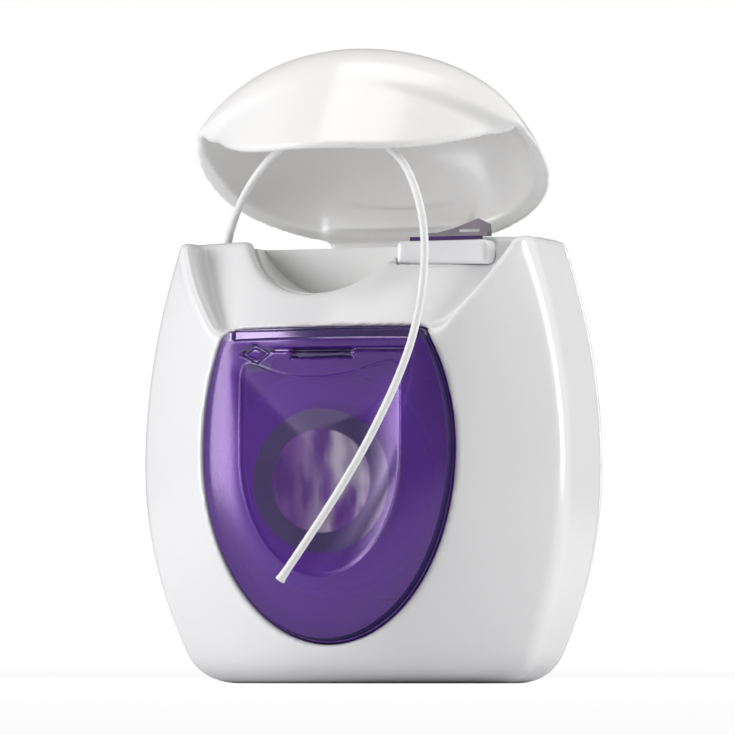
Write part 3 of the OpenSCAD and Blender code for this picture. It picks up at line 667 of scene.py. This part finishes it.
class Paint:
    """One material and its nodes."""

    def __init__(self, name):
        self.material = bpy.data.materials.new(name)
        self.material.use_nodes = True
        self.tree = self.material.node_tree
        self.tree.nodes.clear()

    def node(self, kind, settings=None, inputs=None, out=0):
        """Adds a node with its settings and inputs, and gives one of its outputs."""
        made = self.tree.nodes.new(kind)
        for key, value in (settings or {}).items():
            setattr(made, key, value)
        for key, value in (inputs or {}).items():
            socket = made.inputs[key]
            if isinstance(value, Value):
                self.tree.links.new(value.socket, socket)
            elif isinstance(value, tuple):
                socket.default_value = value if len(value) == len(socket.default_value) else (*value, 1)
            else:
                socket.default_value = value
        return Value(self, made.outputs[out] if len(made.outputs) else None)

    def place(self, scale=(1, 1, 1)):
        """The piece's own coordinates, scaled."""
        here = self.node("ShaderNodeTexCoord", out=3)
        return self.node("ShaderNodeMapping", {}, {"Vector": here, "Scale": scale})

    def noise(self, where, scale, detail, rough=0.5):
        """Fractal noise from about 0 to 1."""
        return self.node("ShaderNodeTexNoise", {}, {"Vector": where, "Scale": scale, "Detail": detail,
                                                    "Roughness": rough})

    def axis(self, where, name):
        """One coordinate of a place."""
        split = self.node("ShaderNodeSeparateXYZ", {}, {0: where})
        return Value(self, split.socket.node.outputs[name])

    def mix(self, share, a, b):
        """A colour between two."""
        return self.node("ShaderNodeMix", {"data_type": "RGBA"}, {0: share, 6: a, 7: b}, out=2)

    def bump(self, height, distance, strength):
        """A normal from a height."""
        return self.node("ShaderNodeBump", {}, {"Height": height, "Distance": distance,
                                                "Strength": strength})

    def blend(self, share, first, second):
        """The material as a share between two shaders."""
        both = self.node("ShaderNodeMixShader", {}, {0: share, 1: first, 2: second})
        self.node("ShaderNodeOutputMaterial", {}, {"Surface": both})
        return self.material

    def finish(self, **inputs):
        """The material as one principled shader."""
        named = {key.replace("_", " "): value for key, value in inputs.items()}
        shader = self.node("ShaderNodeBsdfPrincipled", {}, named)
        self.node("ShaderNodeOutputMaterial", {}, {"Surface": shader})
        return self.material


def around(colour, spread):
    """A colour a little darker and a little lighter."""
    return tuple(c * (1 - spread) for c in colour), tuple(min(1, c * (1 + spread)) for c in colour)


def white_plastic(name, colour, rough):
    """Moulded polypropylene: near white, with a faint cloudiness, and an uneven gloss."""
    p = Paint(name)
    here = p.place()
    shade = p.mix(p.noise(here, 60, 3), *around(colour, 0.003))
    fine = p.noise(here, 420, 4)
    return p.finish(Base_Color=shade, Roughness=rough + 0.08 * (fine - 0.5), Coat_Weight=0.45,
                    Coat_Roughness=0.15, IOR=1.49)


def flow_marks(p):
    """Faint marks of the melt's flow, drawn out upwards."""
    return p.noise(p.place((1, 1, 0.35)), 90, 2, 0.4)


def clear_purple(name, colour, tint, solid, gloss=1.57, rough=0.3):
    """Tinted styrene: light passes through it coloured, with a polished face and faint flow marks."""
    p = Paint(name)
    flow = flow_marks(p)
    return coloured_through(p, p.mix(flow, *around(colour, 0.15)), solid, tint, flow, gloss, rough)


def coloured_through(p, shade, solid, tint, flow, gloss, rough):
    """A share of the light meets the face and the rest passes through it with a tint."""
    fine = p.noise(p.place(), 900, 3)
    skin = p.node("ShaderNodeBsdfPrincipled", {}, {
        "Base Color": shade, "Roughness": rough + 0.05 * fine, "IOR": gloss,
        "Specular Tint": (0.82, 0.64, 1.0), "Normal": p.bump(flow, 0.00005, 0.3)})
    through = p.node("ShaderNodeBsdfTransparent", {}, {"Color": tint})
    return p.blend(solid, through, skin)


def window_styrene(name):
    """The window's styrene: navy where the hub tube stands behind it, painted light from behind in its bore,
    lighter towards the right, and painted shade along the marks of the tabs at the top, in the top band and
    in a patch at the upper left."""
    p = Paint(name)
    here = p.place()
    x, z = p.axis(here, "X") * 1000, p.axis(here, "Z") * 1000
    r = (x ** 2 + (z - SPOOL_Z) ** 2) ** 0.5
    bore = 1 - r.between(BORE_R - 0.35, BORE_R + 0.05)
    ring = (1 - bore) * (1 - r.between(HUB_R - 0.1, HUB_R + 0.15))
    flow = flow_marks(p)
    streaks = p.noise(p.place((1, 1, 0.3)), 420, 2, 0.5)
    body = p.mix(flow, (0.1, 0.021, 0.31), (0.135, 0.03, 0.39))
    # Painted light from behind in the bore: lighter towards the right, near white at its brightest
    painted_bore_light = p.mix(x.between(-3.5, 3.5), (0.28, 0.12, 0.46), (1.0, 0.95, 1.0))
    inside = p.mix(streaks.between(0.35, 0.65), (0.13, 0.04, 0.3), painted_bore_light)
    shade = p.mix(bore, body, inside)

    def band(x0, x1, z0, z1, soft=0.09):
        """1 in a rectangle of the front view and 0 outside it."""
        across = x.between(x0 - soft, x0 + soft) * (1 - x.between(x1 - soft, x1 + soft))
        return across * z.between(z0 - soft, z0 + soft) * (1 - z.between(z1 - soft, z1 + soft))

    # Painted shade: darker along the sunk marks of the tabs, across the top band and in a patch at the upper
    # left
    marks = band(-14, 14, 35.85, 36.1) + band(-2.5, 4.1, 33.85, 34.75) + band(-9, 10, 34.55, 34.8)
    marks = marks + band(-8.3, -5, 32.5, 33.5, 0.3) + 0.75 * band(-14, 14, 36.1, 37.5)
    # Painted shade along the sunk outline of the diamond
    diamond = ((x - DIAMOND_X) ** 2 * 0.33 + (z - DIAMOND_Z) ** 2 * 1.2) ** 0.5
    marks = marks + diamond.between(0.7, 0.8) * (1 - diamond.between(0.95, 1.05))
    # Navy where the hub tube stands behind, and painted shade on the marks
    dark = (ring + marks).between(0.2, 0.9)
    navy = (0.012, 0.008, 0.075)
    return coloured_through(p, p.mix(dark, shade, navy), solid=0.5 + 0.45 * dark,
                            tint=(0.62, 0.36, 0.86), flow=flow, gloss=2.5, rough=0.2)


def floss_fibre(name):
    """Waxed floss: white, with fine lines of its filaments along the strand and a soft sheen."""
    p = Paint(name)
    here = p.place()
    fibre = p.noise(here, 5200, 4, 0.6)
    wax = p.noise(here, 700, 2)
    shade = p.mix(fibre, (0.8, 0.8, 0.79), (0.95, 0.95, 0.95))
    return p.finish(Base_Color=shade, Roughness=0.42 + 0.2 * wax, Sheen_Weight=0.3,
                    Normal=p.bump(fibre, 0.00006, 0.6))


def steel_finish(name):
    """Stamped stainless steel: grey, with fine rolling lines along its length."""
    p = Paint(name)
    lines = p.noise(p.place((0.06, 1, 1)), 9000, 3)
    spots = p.noise(p.place(), 600, 3)
    shade = p.mix(spots, (0.27, 0.24, 0.28), (0.42, 0.38, 0.43))
    return p.finish(Base_Color=shade, Metallic=1.0, Roughness=0.24 + 0.18 * lines,
                    Normal=p.bump(lines, 0.00001, 0.5))


WHITE = white_plastic("white shell plastic", (0.86, 0.86, 0.865), 0.25)
LID_WHITE = white_plastic("white lid plastic", (0.93, 0.925, 0.915), 0.3)
DECK_WHITE = white_plastic("white deck plastic", (0.83, 0.83, 0.82), 0.36)
CORE = white_plastic("pale spool plastic", (0.62, 0.6, 0.7), 0.4)
PURPLE = window_styrene("window styrene")
FRAME = clear_purple("clear purple styrene", (0.12, 0.05, 0.25), (0.75, 0.6, 0.9), 0.5)
RING = clear_purple("thick purple styrene", (0.03, 0.015, 0.14), (0.3, 0.15, 0.6), 0.9)
EDGE = clear_purple("purple step", (0.012, 0.007, 0.07), (0.3, 0.15, 0.6), 0.95, 1.4, 0.5)
TAB = clear_purple("purple tab styrene", (0.06, 0.03, 0.14), (0.3, 0.15, 0.6), 1.0)
FLOSS = floss_fibre("waxed floss")
STEEL = steel_finish("stamped steel")


def dress(obj, material, body, slot, *nodes):
    """Gives a piece its material and its body, and hides the nodes that it stands for; its slot is not used.
    """
    obj.data.materials.clear()
    obj.data.materials.append(material)
    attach(obj, body)
    if nodes:
        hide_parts(*nodes)
    return obj


def repaint(node, material):
    """A carried node keeps its shape and gets a finish."""
    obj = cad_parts[node]
    for slot in obj.material_slots:
        slot.material = material
    if not obj.material_slots:
        obj.data.materials.append(material)


# Free floss: the route's points are those of the model

STRAND_R, FRAY, FRAY_L = 0.43, 0.12, 2.4
STRAND_ROUTE = [
    (-16.3, 0, 46.2), (-16.3, 0, 47.2), (-16, -0.4, 47.9), (-15.7, -0.8, 48.5), (-14.8, -1.6, 50.1),
    (-13.7, -2.6, 51.6), (-12.4, -3.6, 53.1), (-10.6, -4.9, 54.7), (-8.8, -6.1, 56), (-6.2, -7.6, 57.3),
    (-2.3, -9.3, 58.1), (1.6, -10.8, 57.9), (4.7, -11.9, 57), (6.8, -12.6, 55.7), (8.5, -13.2, 54),
    (9.8, -13.8, 51.7), (10.7, -14.3, 49.2), (11.2, -14.7, 46.8), (11.4, -15.1, 44.4), (11.4, -15.6, 41.6),
    (11.1, -16.2, 38.4), (10.3, -16.9, 34.6), (8.9, -17.6, 30.6), (7.2, -18.2, 26.8), (5.6, -18.6, 23.7),
    (3.9, -18.9, 20.8), (2, -19, 17.9), (0, -19.1, 15), (-1.8, -19.1, 12.5), (-3.1, -19.1, 10.7)]


def make_strand():
    """The drawn floss: a twisted strand of six bundles that spreads a little at its cut end."""
    path = curve_points(STRAND_ROUTE, 12)
    along = distances(path)
    near_end = np.clip((along - along[-1] + FRAY_L) / FRAY_L, 0, 1)
    radius = STRAND_R + FRAY * near_end ** 3
    strand = swept("drawn_floss", path, radius, 18, lobes=6, lobe_depth=0.05, twist=0.9)
    strand.data.materials.append(FLOSS)
    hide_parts("floss_strand")
    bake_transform(strand)


make_strand()


# Pieces

def whole_lid(x, y, z):
    """The closed lid with its knuckle, its stub pins and the web between knuckle and dome."""
    from_axis = hinge_distance(y, z)
    room = np.maximum(from_axis - LID_GAP_R, np.abs(x) - LID_GAP_HALF)
    body = round_max(lid_depth(x, y, z), -room, FINE)
    knuckle = round_max(from_axis - KNUCKLE_R, np.abs(x) - KNUCKLE_HALF, LIP_R)
    pins = np.maximum(from_axis - PIN_R, np.abs(x) - PIN_HALF)
    web = np.maximum(np.maximum(np.abs(x) - KNUCKLE_HALF, np.abs(z - RIM - WEB_HALF_H) - WEB_HALF_H),
                     np.maximum(y - HINGE_Y, HINGE_Y - WEB_L - y))
    web = np.maximum(web, even(lambda a, b, c: c - RIM - lid_rise(a, b), x, y, z) + WEB_UNDER)
    return np.minimum(round_min(round_min(body, web, CORNER_R), knuckle, SMALL), pins)


def make_lid():
    """The lid's skin, worked out closed and then opened about the hinge."""
    lid = moulded("lid_skin", whole_lid, low=(-20.8, -18.4, 36.4), high=(20.8, 12.2, 60.6),
                  pitch=SHELL_PITCH)
    co = np.empty(len(lid.data.vertices) * 3)
    lid.data.vertices.foreach_get("co", co)
    lid.data.vertices.foreach_set("co", (opened(co.reshape(-1, 3) / MM) * MM).ravel())
    lid.data.update()
    return lid


def bar_depth(x, y, z):
    """The bar, a little smaller than its block in the model."""
    return rounded_bar(x, y, z, -BAR_SLACK, BAR_R)


front = moulded("front_shell_skin", front_shell_depth, low=(-25, -18.6, -0.8), high=(25, 7, 48.2),
                pitch=SHELL_PITCH)
dress(front, WHITE, "case", "white_plastic", "front_shell")
rear = moulded("rear_shell_skin", rear_shell_depth, low=(-25, 4.6, -0.8), high=(25, 13.4, 49),
               pitch=REAR_PITCH)
dress(rear, WHITE, "case", "white_plastic", "rear_shell")
dress(make_lid(), LID_WHITE, "lid", "lid_plastic", "lid")
bar = moulded("cutter_bar", bar_depth, low=(4.6, -7.9, 43.2), high=(16.4, -3.6, 47.2), pitch=BAR_PITCH)
dress(bar, WHITE, "case", "white_plastic", "cutter_block")

window, thick_faces = window_object("window_pane")
dress(window, PURPLE, "case", "purple_clear", "window")
window.data.materials.append(EDGE)
window.data.polygons.foreach_set("material_index", thick_faces)
ring = turned("hub_ring", [(BORE_R, RING_FRONT), (HUB_R, RING_FRONT),
                           (HUB_R, RING_BACK), (BORE_R, RING_BACK)])
dress(ring, RING, "case", "purple_clear")

for node, material in (("inner_frame", FRAME), ("deck_plate", DECK_WHITE), ("bobbin_core", CORE),
                       ("floss_feed", FLOSS), ("cutter_carrier", TAB), ("floss_winding", FLOSS),
                       ("floss_cutter", STEEL)):
    repaint(node, material)


# Floor and light

def make_stage():
    """A pale floor that reads white to the camera and keeps the object's shadow."""
    floor = bpy.data.meshes.new("floor")
    corners = [(x * FLOOR_HALF, y * FLOOR_HALF, 0) for x, y in ((-1, -1), (1, -1), (1, 1), (-1, 1))]
    floor.from_pydata(corners, [], [(0, 1, 2, 3)])
    plane = bpy.data.objects.new("floor", floor)
    bpy.context.scene.collection.objects.link(plane)
    p = Paint("pale floor")
    paper = p.noise(p.place(), 30, 2)
    shade = p.mix(paper, (0.75, 0.75, 0.76), (0.78, 0.78, 0.79))
    diffuse = p.node("ShaderNodeBsdfDiffuse", {}, {"Color": shade})
    glow = p.node("ShaderNodeEmission", {}, {"Color": (1.0, 1.0, 1.0), "Strength": FLOOR_GLOW})
    camera = p.node("ShaderNodeLightPath", out="Is Camera Ray")
    floor.materials.append(p.blend(camera * GLOW_SHARE, diffuse, glow))


def make_world():
    """Light from all round: bright where it is seen, also through the window, and low elsewhere."""
    world = bpy.data.worlds.new("studio")
    world.use_nodes = True
    bpy.context.scene.world = world
    tree = world.node_tree
    tree.nodes.clear()
    path = tree.nodes.new("ShaderNodeLightPath")
    most = tree.nodes.new("ShaderNodeMath")
    most.operation = "MAXIMUM"
    tree.links.new(path.outputs["Is Camera Ray"], most.inputs[0])
    tree.links.new(path.outputs["Is Transmission Ray"], most.inputs[1])
    level = tree.nodes.new("ShaderNodeMapRange")
    tree.links.new(most.outputs[0], level.inputs[0])
    level.inputs[3].default_value = WORLD_LEVEL
    level.inputs[4].default_value = 1.0
    back = tree.nodes.new("ShaderNodeBackground")
    back.inputs[0].default_value = (1, 1, 1, 1)
    tree.links.new(level.outputs[0], back.inputs[1])
    out = tree.nodes.new("ShaderNodeOutputWorld")
    tree.links.new(back.outputs[0], out.inputs[0])


def lamp(name, place, size, power, colour):
    """A soft area lamp that points at the object. Its power is in watts."""
    data = bpy.data.lights.new(name, "AREA")
    data.shape = "RECTANGLE"
    data.size, data.size_y = size
    data.energy = power
    data.color = colour
    made = bpy.data.objects.new(name, data)
    made.location = place
    made.rotation_euler = (Vector(LAMP_AIM) - Vector(place)).to_track_quat("-Z", "Y").to_euler()
    bpy.context.scene.collection.objects.link(made)


make_stage()
make_world()
lamp("key", (-0.39, -0.30, 0.09), (0.3, 0.5), 2.7, (0.99, 0.985, 1.0))
lamp("right", (0.475, 0.1, 0.16), (0.13, 0.5), 2.05, (1.0, 1.0, 1.0))
lamp("top", (0.0, -0.05, 0.55), (0.35, 0.35), 1.05, (1.0, 0.985, 0.97))

bpy.context.scene.view_settings.view_transform = "Standard"
